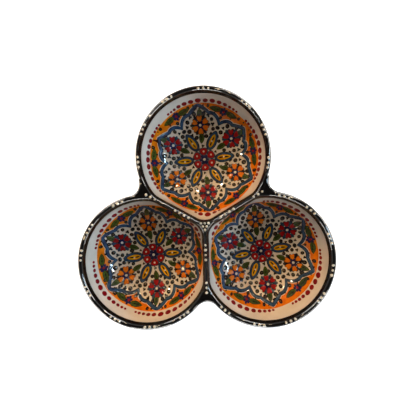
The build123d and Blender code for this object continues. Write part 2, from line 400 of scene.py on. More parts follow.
def bowl_points(lobe):
    """Grid of a bowl: the section turned about the axis, and an outside cut by the two flats."""
    floor_reach = np.linspace(0, floor_end, floor_rows)[1:]
    heel_lift = np.linspace(floor_turn, np.pi / 2 - wall_flare, heel_rows)[1:]
    turned = np.concatenate([floor_reach, heel_r + heel_radius * np.sin(heel_lift)])[:, None]
    share = np.linspace(0, 1, wall_rows)[1:, None]
    outside = outside_section(outside_rows)
    facing = np.maximum(np.cos(off_hub(lobe, ANGLES) - side_turn), least_facing)
    narrow = free_reach(lobe, ANGLES) / lip_radius
    around = np.ones_like(ANGLES)
    radius = [turned * around, wall_radius(lobe, ANGLES, share)]
    radius += [np.minimum(outside[:, :1] * narrow, flat_outside / facing), seat_r / 2 * around[None]]
    height = [section(turned)[0] * around, (wall_z + share * wall_height) * around]
    height += [outside[:, 1:] * around, bowl_base * around[None]]
    return about_axis(lobe, np.vstack(radius), ANGLES, np.vstack(height))


for lobe in LOBES:
    grid = bowl_points(lobe)
    rows, columns = grid.shape[:2]
    poles = [[*axes[lobe], floor_top], [*axes[lobe], bowl_base]]
    points = np.vstack([grid.reshape(-1, 3), poles])
    first_ring, last_ring = np.arange(columns), np.arange(columns) + (rows - 1) * columns
    faces = [grid_faces(rows, columns), pole_faces(rows * columns, first_ring)]
    faces += [pole_faces(rows * columns + 1, last_ring, outward=False)]
    make_piece(f"glazed_bowl_{lobe}", points, faces, white_glaze, [f"bowl_{lobe}"])

# %% [markdown]
# ## The black coil
# A coil of clay rounds off every edge and is glazed black. Its height depends only on
# the distance to the nearest edge: a quarter ellipse from an outside edge, a softer
# quarter sine from an opening, and level once it is half a coil's width in. That rule
# gives the bead on a lip, the bead on a divider and the level web in a notch or at the
# hub, with no seams to blend.

# %% Black glaze with a painted brown highlight along its outer edges
def black_glaze_with_highlight(name):
    """Black glaze with a painted highlight: brown where the attribute says, near outer edges, with a
    rippled gloss.
    """
    black, deep_black, highlight_brown = (14, 12, 11), (6, 5, 5), (92, 62, 36)
    material = glaze(name, black, deep_black, grain=300, rough=0.10, ripple=0.22, coat=1.0)
    tree = material.node_tree
    shader = tree.nodes["Principled BSDF"]
    tones = shader.inputs["Base Color"].links[0].from_node
    # The attribute sets where the painted brown highlight lies on the coil.
    edge_highlight = new_node(tree, "Attribute", attribute_name="edge_highlight")
    brown = new_node(tree, "Mix", {"B": (*srgb(*highlight_brown), 1)}, data_type="RGBA")
    wire(tree, edge_highlight, "Fac", brown, "Factor")
    wire(tree, tones, "Color", brown, "A")
    wire(tree, brown, "Result", shader, "Base Color")
    return material


black_glaze = black_glaze_with_highlight("black_glaze")
print("black glaze made")

# %% Coil surfaces
coil_half, coil_side, coil_inside, coil_columns = 3.0, 2.2, 0.4, 17
# Painted highlight: brown near the coil's outer edges, at most this share of the colour.
highlight_narrowing, most_highlight = 4, 0.3


def ring_slope(reach, step):
    """How the reach of a closed curve changes with the angle."""
    return np.gradient(np.concatenate([reach[-2:], reach, reach[:2]]), step)[2:-2]


def coil_points(lobe):
    """Grid of a bowl's share of the coil, and how much painted brown highlight each point takes.

    Reach runs from the opening to the outer edge, closer at both ends, and height swells
    with the distance to the nearer edge. A painted brown highlight lies just inside an outside edge."""
    inner, outer = opening_reach(lobe, ANGLES), cell_reach(lobe, ANGLES)
    share = (1 - np.cos(np.linspace(0, np.pi, coil_columns))) / 2
    radius = inner + share[:, None] * (outer - inner)
    from_opening = (radius - inner) / np.hypot(1, ring_slope(inner, ANGLES[1]) / inner)
    off = off_hub(lobe, ANGLES)
    past_notch = off - side_turn - notch_turn
    hollow_x = (lip_radius + notch_radius) * np.cos(past_notch)
    hollow_y = (lip_radius + notch_radius) * np.sin(past_notch)
    from_hollow = np.hypot(hollow_x - radius, hollow_y) - notch_radius
    in_notch = off < side_turn + notch_turn
    from_outside = np.where(in_notch, from_hollow, free_reach(lobe, ANGLES) - radius)
    edge = np.clip(np.minimum(from_opening, from_outside) / coil_half, 0, 1)
    inside = from_opening < from_outside
    swell = np.where(inside, np.sin(edge * np.pi / 2), np.sqrt(1 - (1 - edge) ** 2))
    side = np.where(inside, coil_inside, coil_side)
    height = lip_base + side + (lip_top - lip_base - side) * swell
    radius = np.vstack([inner, radius, outer])
    height = np.vstack([np.full_like(inner, lip_base), height, np.full_like(outer, lip_base)])
    # Painted brown highlight: full at an outside edge, gone a quarter of half a coil's width in.
    outward = np.clip(1 - highlight_narrowing * from_outside / coil_half, 0, 1)
    edge_highlight = np.vstack([np.zeros_like(inner), outward, np.ones_like(outer)])
    return about_axis(lobe, radius, ANGLES, height), most_highlight * edge_highlight


# Each share of the coil stands in for its own lip and for the cap of one divider and notch.
share_of = {"back": "left", "left": "front", "right": "right"}
for lobe in LOBES:
    # Each share carries its painted brown highlight as a point attribute.
    grid, edge_highlight = coil_points(lobe)
    nodes_here = [f"{kind}_{share_of[lobe]}" for kind in ("divider_cap", "notch_cap")]
    nodes_here += [f"lip_{lobe}"] + ["hub_cap"] * (lobe == "back")
    faces = [grid_faces(*grid.shape[:2], wrap_rows=True)]
    make_piece(f"rim_coil_{lobe}", grid, faces, black_glaze, nodes_here, ("edge_highlight", edge_highlight))

# %% [markdown]
# ## Stamping dabs
# A painter repeats a few brush marks: a round dot, a petal, a leaf, a stroke. Each
# mark is a low dome over a closed outline, and one function stamps a whole list of
# them by broadcasting, so two hundred curls cost no more code than one. A mark's edge
# dips just under the glaze, so it is closed and seats without a gap.

# %% Outlines and the stamp
rng = np.random.default_rng(11)
last_ring, dome_fall, mark_sink = 0.88, 0.2, 0.04


def full_turn(count):
    """Angles once round, evenly spaced."""
    return np.linspace(0, 2 * np.pi, count, endpoint=False)


def round_outline(count=10):
    """Unit circle."""
    turn = full_turn(count)
    return np.stack([np.cos(turn), np.sin(turn)], -1)


def star_outline(points, inner, sharp=1.5):
    """Star with rounded valleys: reach falls from one to the inner share halfway between points."""
    turn = full_turn(4 * points)
    reach = inner + (1 - inner) * np.abs(np.cos(points * turn / 2)) ** sharp
    return np.stack([reach * np.cos(turn), reach * np.sin(turn)], -1)


def heart_outline(count=18, notch=0.5, notch_width=0.4, flare=0.28):
    """Petal: a circle that widens towards its outer end, where a bell curve cuts a notch."""
    turn = full_turn(count)
    gap = np.minimum(turn, 2 * np.pi - turn)
    reach = 1 - notch * np.exp(-((gap / notch_width) ** 2))
    width = 1 + flare * np.cos(turn)
    return np.stack([reach * np.cos(turn), reach * np.sin(turn) * width], -1)


def leaf_outline(count=16, blunt=0.25, bend=0.0, point=0.35):
    """Leaf along X: half width is a sine to a power, fuller to the blunt end, bent sideways."""
    turn = full_turn(count)
    along = np.cos(turn)
    across = np.sin(turn) * np.abs(np.sin(turn)) ** point * (1 - blunt * along)
    return np.stack([along, across + bend * (1 - along**2)], -1)


def dome_faces(rings, columns, copies):
    """Faces of each copy of a dome: a fan from its top, bands between rings and a flat underside."""
    ring = np.arange(columns)
    last = 1 + (rings - 1) * columns
    faces = [pole_faces(0, 1 + ring), 1 + grid_faces(rings, columns), (last + ring[::-1])[None]]
    starts = (np.arange(copies) * (1 + rings * columns))[:, None, None]
    return [(face[None] + starts).reshape(-1, face.shape[1]) for face in faces]


def stamp(outline, places, lay, height, rings=2):
    """Domes over an outline at each place (x, y, turn, length, width): points and faces.

    A point is the outline times a ring's share, stretched, turned and moved, then laid
    on the ground with the ring's height, and the edge is just under the glaze. A long mark
    takes more rings, and they go back inwards below, so that it follows the hollow bowl."""
    places = np.asarray(places, float).reshape(-1, 5)
    shares = np.append(last_ring * np.arange(1, rings) / (rings - 1), 1.0)
    heights = np.append(height * (1 - dome_fall * shares[:-1] ** 2), -mark_sink)
    if rings > 3:
        heights = np.append(heights, np.full(rings - 1, -2 * mark_sink))
        shares = np.append(shares, shares[-2::-1])
    shape = np.vstack([[[0.0, 0.0]], (shares[:, None, None] * outline).reshape(-1, 2)])
    lift = np.append(height, np.repeat(heights, len(outline)))
    long, wide = shape[:, 0] * places[:, 3:4], shape[:, 1] * places[:, 4:5]
    cos, sin = np.cos(np.radians(places[:, 2:3])), np.sin(np.radians(places[:, 2:3]))
    x = places[:, 0:1] + long * cos - wide * sin
    y = places[:, 1:2] + long * sin + wide * cos
    points = lay(x, y, np.broadcast_to(lift, x.shape))
    return points.reshape(-1, 3), dome_faces(len(heights), len(outline), len(places))


def polar(radius, angle):
    """Plan place at a radius and an angle in degrees."""
    return radius * np.cos(np.radians(angle)), radius * np.sin(np.radians(angle))


class Paint:
    """Marks of a bowl, collected by colour, so that each colour becomes one object."""

    def __init__(self, lay):
        self.lay = lay
        self.marks = {}

    def add(self, colour, points, faces):
        """Keep a mark that is ready."""
        self.marks.setdefault(colour, []).append((points, faces))

    def stamp(self, colour, outline, places, lift, rings=2):
        """Keep a stamp at places of the floor."""
        self.add(colour, *stamp(outline, places, self.lay, lift, rings))

    def dot(self, colour, centre, radius, lift):
        """Keep one round dot."""
        self.stamp(colour, round_outline(), [[*centre, 0, radius, radius]], lift)

    def build(self, lobe):
        """Join the marks of each colour, numbering their points on, and make its object."""
        for colour, marks in self.marks.items():
            material, slot = COLOURS[colour]
            starts = np.cumsum([0] + [len(points) for points, _ in marks])
            faces = [face + start for (_, group), start in zip(marks, starts) for face in group]
            points = np.vstack([points for points, _ in marks])
            make_piece(f"{colour}_{lobe}", points, faces, material)


COLOURS = {
    "red_petals": (red_enamel, "red_enamel"),
    "wall_dots": (dot_red, "red_enamel"),
    "orange_petals": (orange_enamel, "orange_enamel"),
    "orange_border": (orange_enamel, "orange_enamel"),
    "yellow_cores": (yellow_enamel, "yellow_enamel"),
    "blue_lines": (blue_enamel, "blue_enamel"),
    "teal_dots": (teal_enamel, "blue_enamel"),
    "navy_stars": (navy_enamel, "navy_enamel"),
    "green_leaves": (green_enamel, "green_enamel"),
    "ink_lines": (ink, "black_glaze"),
    "brown_curls": (brown_ink, "black_glaze"),
    "white_dots": (white_slip, "white_slip"),
}
print("colours to paint with:", len(COLOURS))

# %% [markdown]
# ## The border and the cartouche
# The medallion's edge is an ogee line of six lobes. In polar form each lobe runs from
# a pointed tip on the flower's axis, in to a cusp, out over a bulge and down to a
# valley. The orange ground fills what lies between that line and the foot of the wall.

# %% Cartouche line and orange ground
tip_r, cusp_r, valley_r = 49.9, 43.5, 36.4
cusp_off, valley_off, cusp_hook, valley_power = 13.0, 30.0, 0.9, 1.7
border_share, border_ease, border_gap = 0.05, 1.5, 0.1
border_wave, wave_count, wave_start = 0.2, 7, 1.0
ground_off, ground_lift, most_widening, band_bevel, band_sink = 1.78, 0.05, 1.6, 0.06, 0.06
LINE_LAYERS = (("ink_lines", 1.62, 0.09), ("blue_lines", 1.15, 0.15))
RING = np.radians(np.arange(0.0, 360.0, 0.5))
MEDALLION_SHIFTS = {"back": (-0.3, 0.0), "left": (0.0, 0.0), "right": (-0.7, 1.4)}
TIP_SHIFTS = {
    "back": (0, -3.5, -1.2, 0, -1.2, -3.5),
    "left": (0, 0, 0, 0, 0, 0),
    "right": (0, -2.4, -1.2, 0, 0, 0),
}


def cartouche(angle, turn, tips):
    """Reach of the ogee line: an even fall from the tip to the cusp, then a bulge to the valley.

    A tip's own shift is whole on its axis and fades evenly to the valley."""
    place = (np.degrees(angle) - turn + 30) % 360
    tip = np.array(tips)[(place // 60).astype(int)]
    off = np.abs(place % 60 - 30)
    first = np.minimum(off / cusp_off, 1)
    second = np.clip((off - cusp_off) / (valley_off - cusp_off), 0, 1)
    to_cusp = tip_r - (tip_r - cusp_r) * first
    hook = cusp_hook * np.sin(np.pi * second)
    to_valley = cusp_r + hook - (cusp_r - valley_r) * second**valley_power
    return np.where(off < cusp_off, to_cusp, to_valley) + tip * (1 - off / valley_off)


def eased(lobe, x, y):
    """Plan places moved with the medallion, and drawn in near the wall so that none climbs it."""
    x, y = x + MEDALLION_SHIFTS[lobe][0], y + MEDALLION_SHIFTS[lobe][1]
    radius = np.maximum(np.hypot(x, y), tiny)
    start = wall_radius(lobe, np.arctan2(y, x), border_share) - border_ease - border_gap
    past = np.maximum(radius - start, 0)
    way = 1 - (past - border_ease * (1 - np.exp(-past / border_ease))) / radius
    return np.stack([x * way, y * way])


def band(lobe, inner, outer, height, rows=5):
    """Closed band between two plan curves: a raised upper side and a side sunk in the glaze."""
    share = np.concatenate([[0], np.linspace(band_bevel, 1 - band_bevel, rows - 2), [1]])
    upper = np.full(rows, height)
    upper[[0, -1]] = -band_sink
    share = np.concatenate([share, share[-2:0:-1]])[:, None]
    lift = np.concatenate([upper, np.full(rows - 2, -2 * band_sink)])[:, None]
    x, y = inner[:, None] + share * (outer - inner)[:, None]
    points = on_glaze(lobe, x, y, lift + 0 * x)
    return points.reshape(-1, 3), [grid_faces(*x.shape, wrap_rows=True)]


def paint_border(paint, lobe, turn):
    """Orange ground, and the ogee line in blue with dark edges and a narrow pale gap outside it."""
    line = cartouche(RING, turn, TIP_SHIFTS[lobe])
    widen = np.minimum(np.hypot(1, ring_slope(line, RING[1]) / line), most_widening)
    wave = 1 + border_wave * np.sin(wave_count * RING + wave_start)
    edge = wall_radius(lobe, RING, border_share * wave)
    way = np.stack([np.cos(RING), np.sin(RING)])
    ground = eased(lobe, *(line + ground_off * widen) * way)
    paint.add("orange_border", *band(lobe, ground, edge * way, ground_lift, rows=18))
    for colour, half, lift in LINE_LAYERS:
        sides = [eased(lobe, *(line + side * half * widen) * way) for side in (-1, 1)]
        paint.add(colour, *band(lobe, *sides, lift))


print("cartouche from", valley_r, "to", tip_r, "mm")

# %% [markdown]
# ## Flowers and the rosette
# A flower has six notched petals with a dot in each gap and a dark star at its eye,
# and the rosette in the middle of a bowl is a larger one with a dot on each petal.
# Petals could be drawn one by one, but a hand repeats itself: one ring of places,
# each a little off, gives six petals that are alike and not equal.

# %% Flower and rosette
SIXTHS = 60 * np.arange(6)
turn_jitter, size_jitter, rim_spread = 12, 0.5, 1.2
rim_lift, gap_dot_lift, petal_lift, star_lift, white_lift = 0.11, 0.18, 0.20, 0.26, 0.45
flower_r, petal_r, gap_dot_r = 32.8, 6.0, 7.3
petal_size, gap_dot_size, petal_rim = (3.15, 2.4), (2.6, 1.55), 0.65
flower_star, flower_eye = 4.2, 1.4
rosette_r, rosette_size, rosette_rim = 7.7, (3.7, 3.65), 0.7
rosette_dot_r, rosette_dot, rosette_star, rosette_eye = 8.0, 1.05, 5.4, 1.5
heart, round_heart, ball = heart_outline(), heart_outline(notch=0.12), round_outline()
star, rosette_points = star_outline(6, 0.62), star_outline(6, 0.6)


def ring_of(centre, radius, angles, length, width, jitter=0.12):
    """Places on a circle about a centre, each turned to look outwards, a little uneven."""
    angles = angles + rng.normal(0, turn_jitter * jitter, len(angles))
    x, y = polar(radius + rng.normal(0, jitter, angles.shape), angles)
    size = 1 + rng.normal(0, size_jitter * jitter, angles.shape)
    return np.stack([centre[0] + x, centre[1] + y, angles, length * size, width * size], -1)


def paint_petals(paint, shape, colour, rim_colour, places, rim):
    """Petals, each on a slightly larger one that shows as its outline."""
    paint.stamp(rim_colour, shape, places + [0, 0, 0, rim, rim_spread * rim], rim_lift, rings=3)
    paint.stamp(colour, shape, places, petal_lift, rings=3)


def paint_flower(paint, centre, turn, petal_colour, dot_colour):
    """Six notched petals, six dots in their gaps, a six-pointed star and its white eye."""
    petals = ring_of(centre, petal_r, turn + SIXTHS, *petal_size)
    paint_petals(paint, heart, petal_colour, "ink_lines", petals, petal_rim)
    dots = ring_of(centre, gap_dot_r, turn + 30 + SIXTHS, *gap_dot_size)
    paint.stamp(dot_colour, ball, dots, gap_dot_lift)
    paint.stamp("navy_stars", star, [[*centre, turn + 30, flower_star, flower_star]], star_lift, rings=3)
    paint.dot("white_dots", centre, flower_eye, white_lift)


def paint_rosette(paint, turn):
    """Six red petals with a white dot on each, and a star with a white eye."""
    middle = (0, 0)
    petals = ring_of(middle, rosette_r, turn + SIXTHS, *rosette_size, jitter=0.06)
    paint_petals(paint, round_heart, "red_petals", "teal_dots", petals, rosette_rim)
    dots = ring_of(middle, rosette_dot_r, turn + SIXTHS, rosette_dot, rosette_dot, jitter=0.05)
    paint.stamp("white_dots", ball, dots, white_lift)
    place = [[*middle, turn + 30, rosette_star, rosette_star]]
    paint.stamp("navy_stars", rosette_points, place, star_lift, rings=3)
    paint.dot("white_dots", middle, rosette_eye, white_lift)


print("a flower stands", flower_r, "mm from the middle of its bowl")

# %% [markdown]
# ## Leaves, curls and dabs
# Leaves are outlined in ink, filled with green and veined. Curls are dark rings round
# a brown eye, and dabs are three-cornered touches of a full brush. A long leaf crosses
# the curve of the bowl, so its stamp takes more rings than a dot does.

# %% Leaf, curl and dab
leaf_bend, leaf_rim, leaf_rim_lift, blade_lift, vein_lift = 0.18, 0.5, 0.10, 0.19, 0.24
midrib, vein_off, vein_turn, vein_length, vein_half = (0.8, 0.15), 0.3, 42, 0.4, 0.22
VEINS_ALONG, VEIN_SIDES = np.array([-0.25, -0.25, 0.3, 0.3]), np.array([1, -1, 1, -1])
curl_lift, curl_eye, curl_eye_lift, dab_lift = 0.13, 0.3, 0.2, 0.12
leaf, dab = leaf_outline(), star_outline(3, 0.5)


def paint_leaf(paint, centre, turn, length, width):
    """Dark rim, green blade, a dark midrib and two pairs of side veins."""
    place = np.array([[*centre, turn, length, width]])
    shape = leaf_outline(bend=rng.uniform(-leaf_bend, leaf_bend))
    paint.stamp("ink_lines", shape, place + [0, 0, 0, leaf_rim, leaf_rim], leaf_rim_lift, rings=5)
    paint.stamp("green_leaves", shape, place, blade_lift, rings=5)
    paint.stamp("ink_lines", leaf, place * [1, 1, 1, *midrib], vein_lift, rings=4)
    along, off = VEINS_ALONG * length, vein_off * width
    x, y = polar(np.hypot(along, off), turn + np.degrees(np.arctan2(off * VEIN_SIDES, along)))
    veins = np.column_stack([centre[0] + x, centre[1] + y, turn + vein_turn * VEIN_SIDES])
    veins = np.column_stack([veins, np.tile([vein_length * width, vein_half], (len(veins), 1))])
    paint.stamp("ink_lines", round_outline(6), veins, vein_lift)


def scattered(places, size, uneven, flat=1.0):
    """Rows for a stamp: at each place a size that varies by a share, turned at random."""
    spread = size * rng.uniform(1 - uneven, 1 + uneven, len(places))
    return np.column_stack([places, rng.uniform(0, 360, len(places)), spread, flat * spread])


def paint_curls(paint, places, size=2.2):
    """Dark ring with a brown eye: a wide ink dab, and a smaller brown one on it."""
    rows = scattered(places, size, uneven=0.15, flat=0.92)
    paint.stamp("ink_lines", ball, rows, curl_lift)
    rows[:, 3:] = rows[:, 3:] * curl_eye
    paint.stamp("brown_curls", ball, rows, curl_eye_lift)


def paint_dabs(paint, places, size=1.95):
    """Small three-cornered dabs."""
    paint.stamp("ink_lines", dab, scattered(places, size, uneven=0.2), dab_lift)


print("a leaf has", len(VEINS_ALONG), "side veins")

# %% [markdown]
# ## Almonds and border flowers
# Almonds point out between the flowers: four outlines, each smaller and higher than
# the one below, so that every colour keeps a rim of the last. On the orange ground
# beyond each almond sits a small dark flower between two long leaves.

# %% Almond and border flower
ALMOND_LAYERS = (
    ("ink_lines", 19.9, 10.3, 5.2, 0.08),
    ("blue_lines", 19.9, 9.9, 4.8, 0.14),
    ("ink_lines", 19.5, 7.6, 3.0, 0.19),
    ("yellow_cores", 19.5, 7.3, 2.65, 0.24),
)
ALMOND_STROKES = ((16.6, 0.5), (21.9, -0.3))
almond_stroke, stroke_turn, stroke_lift = (3.0, 0.85), 9, 0.30
almond_dot_r, almond_dot_off, almond_dot = 19.2, 1.2, 0.95
almond_tip_r, almond_tip = 32.6, (1.9, 2.4)
almond = leaf_outline(24, blunt=0.175, point=0.12)
border_flower_r, border_petal_r, border_petal, border_eye = 47.0, 2.2, (1.6, 1.3), 1.1
border_petal_lift, border_eye_lift = 0.2, 0.32
border_leaf_off, border_leaf_out, border_leaf, border_leaf_turn = 9.8, 0.5, (6.2, 1.85), (4, 14)


def paint_almond(paint, angle):
    """Blue almond with a yellow core, two dark strokes and a white dot, and a dark dot at its tip."""
    for colour, radius, length, width, lift in ALMOND_LAYERS:
        place = [[*polar(radius, angle), angle, length, width]]
        paint.stamp(colour, almond, place, lift, rings=8)
    for radius, side in ALMOND_STROKES:
        place = [[*polar(radius, angle + side), angle + stroke_turn * side, *almond_stroke]]
        paint.stamp("ink_lines", leaf, place, stroke_lift, rings=4)
    paint.dot("white_dots", polar(almond_dot_r, angle + almond_dot_off), almond_dot, white_lift)
    paint.stamp("ink_lines", ball, [[*polar(almond_tip_r, angle), angle, *almond_tip]], gap_dot_lift)


def paint_border_flower(paint, angle):
    """Six dark blue petals with a red eye, and a long leaf on each side along the border."""
    centre = polar(border_flower_r, angle)
    petals = ring_of(centre, border_petal_r, angle + SIXTHS, *border_petal)
    paint.stamp("navy_stars", ball, petals, border_petal_lift)
    paint.dot("red_petals", centre, border_eye, border_eye_lift)
    for side in (-1, 1):
        leaf_turn = angle + side * 90 + side * rng.uniform(*border_leaf_turn)
        place = polar(border_flower_r + border_leaf_out, angle + side * border_leaf_off)
        paint_leaf(paint, place, leaf_turn, *border_leaf)


print("an almond has", len(ALMOND_LAYERS), "layers")

# %% [markdown]
# ## Laying out one medallion
# The same layout goes into each bowl, turned a little differently by hand. Places are
# given against a flower's axis, so one loop over six flowers lays the whole ring. The
# small marks between the flowers are pushed apart at the end, so that none run together.

# %% Medallion
CURLS = ((28, 11.0), (-28, 11.2), (74, 12.5), (-74, 12.5), (113, 12.1), (-113, 12.1))
CURLS += ((158, 12.2), (-159, 12.2))
DABS = ((50, 11.6), (-51, 11.8), (93, 12.6), (-94, 12.4), (134, 12.6), (-135, 12.4))
DABS += ((180, 19.6), (147, 16.8), (-146, 17.0), (12, 14.0))
BORDER_CURLS = ((41.8, 0), (49.0, 19.5), (48.9, -20))
BORDER_DABS = ((44.6, 10), (44.8, -11), (49.4, 24), (49.5, -25))
SPRIG_SHIFTS = {
    "back": (-3, -1, 0, 4, 1.5, 0),
    "left": (0, 6, -4.5, 1.5, 1.5, 0),
    "right": (-3.5, 0, 0, 4, 5.5, -1),
}
mark_turn_jitter, mark_jitter, border_jitter, mark_gap = 3, 0.35, 0.8, 4.4
border_curl, border_dab = 1.75, 1.1
inner_leaf_r, inner_leaf, inner_wobble = 20.5, (4.8, 2.3), 8
outer_leaf_r, outer_leaf_length, outer_leaf_width, outer_wobble = 43.2, 4.0, 2.3, 14
leaf_lean, tip_follow, tip_stretch = 1, 0.35, 0.15


def about(centre, turn, places):
    """Plan places given as (angle off the flower's axis, distance from its middle)."""
    offs, distances = np.array(places, float).T
    offs = offs + rng.normal(0, mark_turn_jitter, offs.shape)
    x, y = polar(distances + rng.normal(0, mark_jitter, offs.shape), turn + offs)
    return np.stack([centre[0] + x, centre[1] + y], -1)


def in_border(angle, places):
    """Plan places given as (distance from the bowl's middle, angle off the almond's axis)."""
    return [polar(radius, angle + off + rng.normal(0, border_jitter)) for radius, off in places]


def spaced(places, gap, rounds=12, share=0.3):
    """Places that stand nearer than the gap, pushed apart by a share of what is missing each round."""
    for _ in range(rounds):
        apart = places[:, None] - places
        distance = np.hypot(*np.moveaxis(apart, -1, 0)) + 2 * gap * np.eye(len(places))
        push = np.maximum(gap / distance - 1, 0)[..., None] * apart
        places = places + share * push.sum(1)
    return places


def paint_medallion(lobe, turn):
    """Border, rosette, almonds and six flowers with their leaves, curls and dabs."""

    def lay(x, y, lift):
        """Mark on the inside of this bowl."""
        return on_glaze(lobe, *eased(lobe, x, y), lift)

    paint = Paint(lay)
    paint_border(paint, lobe, turn)
    paint_rosette(paint, turn)
    curls, dabs = [], []
    for index, (tip, sprig) in enumerate(zip(TIP_SHIFTS[lobe], SPRIG_SHIFTS[lobe])):
        axis = turn + 60 * index
        centre = polar(flower_r, axis)
        colours = ("orange_petals", "ink_lines") if index % 2 == 0 else ("red_petals", "teal_dots")
        paint_flower(paint, centre, axis, *colours)
        inner_turn = axis + 180 + rng.uniform(-inner_wobble, inner_wobble)
        outer_turn = axis + rng.uniform(-outer_wobble, outer_wobble)
        paint_leaf(paint, polar(inner_leaf_r, axis + leaf_lean), inner_turn, *inner_leaf)
        place = polar(outer_leaf_r + tip_follow * tip, axis - leaf_lean)
        paint_leaf(paint, place, outer_turn, outer_leaf_length + tip_stretch * tip, outer_leaf_width)
        curls.append(about(centre, axis, CURLS))
        dabs.append(about(centre, axis, DABS))
        between = axis + 30
        paint_almond(paint, between)
        paint_border_flower(paint, between + sprig)
        paint_curls(paint, in_border(between, BORDER_CURLS), border_curl)
        paint_dabs(paint, in_border(between, BORDER_DABS), border_dab)
    marks = spaced(np.concatenate(curls + dabs), mark_gap)
    curl_count = sum(map(len, curls))
    paint_curls(paint, marks[:curl_count])
    paint_dabs(paint, marks[curl_count:])
    return paint


print("curls and dabs by a flower:", len(CURLS) + len(DABS))

# %% [markdown]
# ## Wall dots
# Above the orange ground runs a garland of dark red dots, in arcs that swell in the
# middle. They sit on the wall, so they are laid by angle and by the height on the wall
# instead of by plan place. Each arc has a start and an end in degrees, and a rise in
# millimetres, because the hand didn't keep to one line.

# %% Garlands
WALL_ARCS = {
    "back": ((51, 130, 0.0), (141, 221, -0.6), (258, 287, 0.0), (-29, 41, -0.6)),
    "left": ((98, 169, 0.3), (180, 244, 2.2), (252, 324, 1.4), (18, 50, 0.0)),
    "right": ((18, 91, 0.0), (-62, 7, 0.3), (-154, -80, 0.0), (133, 162, 0.0)),
}
MEDALLION_TURNS = {"back": 95.1, "left": 95.3, "right": 99.7}
wall_dot_pitch, wall_middle_r = 5.0, 52.0
wall_dot_half, wall_dot_rise, wall_dot_start, wall_dot_lift = 2.4, 2.8, 0.9, 0.3
end_dot, dot_swell, dot_tilt, dot_uneven, fewest_dots = 0.55, 0.6, 8, (0.9, 1.1), 3
wall_ball = round_outline(12)


def paint_garland(paint, lobe):
    """Dots along each arc: sizes follow a squared sine over the arc, and spacing follows size."""

    def lay(along, up, lift):
        """Mark on this bowl's wall, by the way round it and up it."""
        return on_wall(lobe, along / wall_middle_r, up / wall_height, lift)

    for start, end, rise in WALL_ARCS[lobe]:
        length = np.radians(end - start) * wall_middle_r
        count = max(int(round(length / wall_dot_pitch)), fewest_dots)
        size = end_dot + dot_swell * np.sin(np.pi * (np.arange(count) + 0.5) / count) ** 2
        size = size * rng.uniform(*dot_uneven, count)
        share = (np.cumsum(size) - size / 2) / np.sum(size)
        along = np.radians(start) * wall_middle_r + share * length
        up = wall_dot_start + rise + wall_dot_rise * size
        rows = np.column_stack([along, up, rng.normal(0, dot_tilt, count)])
        rows = np.column_stack([rows, wall_dot_half * size, wall_dot_rise * size])
        paint.add("wall_dots", *stamp(wall_ball, rows, lay, wall_dot_lift, rings=3))


for lobe in LOBES:
    paint = paint_medallion(lobe, MEDALLION_TURNS[lobe])
    paint_garland(paint, lobe)
    paint.build(lobe)

# %% [markdown]
# ## Trailed dots
# White slip is trailed from a bulb in small raised dots: groups of three round each
# lip, a row along each divider and a triangle at the hub. They stand where the solids
# have them, as slightly uneven domes on the crest of the coil.

# %% Slip dots
dot_radius, dot_height, dot_pitch, hub_pitch = 1.1, 0.6, 4.4, 3.4
dots_in_group, divider_dot_count, notch_dot_count, hub_dot_rows = 3, 4, 3, 3
divider_start, notch_start = 1.5, 0.5
dome_rows, dome_columns, dome_foot, dome_seat = 5, 14, 1.02, 0.9
dome_ovals, dome_sizes = (0.02, 0.12), (0.85, 1.15)
LIP_GROUPS = {
    "back": (-98, -69, -42, -2, 31, 65, 94),
    "left": (-97, -63, -38, -5, 30, 62, 95),
    "right": (-101, -68, -40, -6, 20, 48, 78, 104),
}
crest_r = lip_radius - coil_half
hub_reach = half_spacing * np.tan(side_turn) - hub_corner_along
divider_reach = half_spacing * np.tan(side_turn) + corner_along


def dome_points(places):
    """Half ellipsoids on the crest, each a little oval in plan, and a ring under the glaze."""
    turn = full_turn(dome_columns)
    rise = np.linspace(np.pi / 2, 0, dome_rows)[1:]
    count = len(places)
    phase = rng.uniform(0, 2 * np.pi, (count, 1, 1))
    amount = rng.uniform(*dome_ovals, (count, 1, 1))
    size = dot_radius * rng.uniform(*dome_sizes, (count, 1, 1))
    reach = size * (1 + amount * np.cos(2 * turn + phase))
    out = np.append(np.cos(rise), dome_foot)[:, None] * reach
    level = np.append(np.sin(rise) * dot_height, -dome_seat)[:, None]
    x = places[:, 0, None, None] + out * np.cos(turn)
    y = places[:, 1, None, None] + out * np.sin(turn)
    ring = np.stack([x, y, np.broadcast_to(lip_top + level, x.shape)], -1).reshape(count, -1, 3)
    tops = np.column_stack([places, np.full(count, lip_top + dot_height)])[:, None]
    return np.concatenate([tops, ring], 1)


def make_dots(name, places, node):
    """One object for a node's dots."""
    faces = dome_faces(dome_rows, dome_columns, len(places))
    make_piece(name, dome_points(places), faces, white_slip, [node])


in_group = np.degrees(dot_pitch / crest_r) * (np.arange(dots_in_group) - (dots_in_group - 1) / 2)
for lobe in LOBES:
    angles = toward_hub[lobe] + 180 + np.add.outer(LIP_GROUPS[lobe], in_group).ravel()
    x, y = polar(crest_r, angles)
    narrow = (lip_radius - free_reach(lobe, np.radians(angles))) / 2
    x, y = x * (1 - narrow / crest_r), y * (1 - narrow / crest_r)
    make_dots(f"trailed_dots_{lobe}", axes[lobe] + np.stack([x, y], -1), f"lip_dots_{lobe}")

DIVIDERS = {"front": 270.0, "right": 30.0, "left": 150.0}
for divider, angle in DIVIDERS.items():
    on_divider = hub_reach + (np.arange(divider_dot_count) + divider_start) * dot_pitch
    in_notch = divider_reach + (np.arange(notch_dot_count) + notch_start) * dot_pitch
    x, y = polar(np.concatenate([on_divider, in_notch]), angle)
    places = hub + np.stack([x, y], -1)
    make_dots(f"trailed_dots_{divider}_divider", places, f"divider_dots_{divider}")

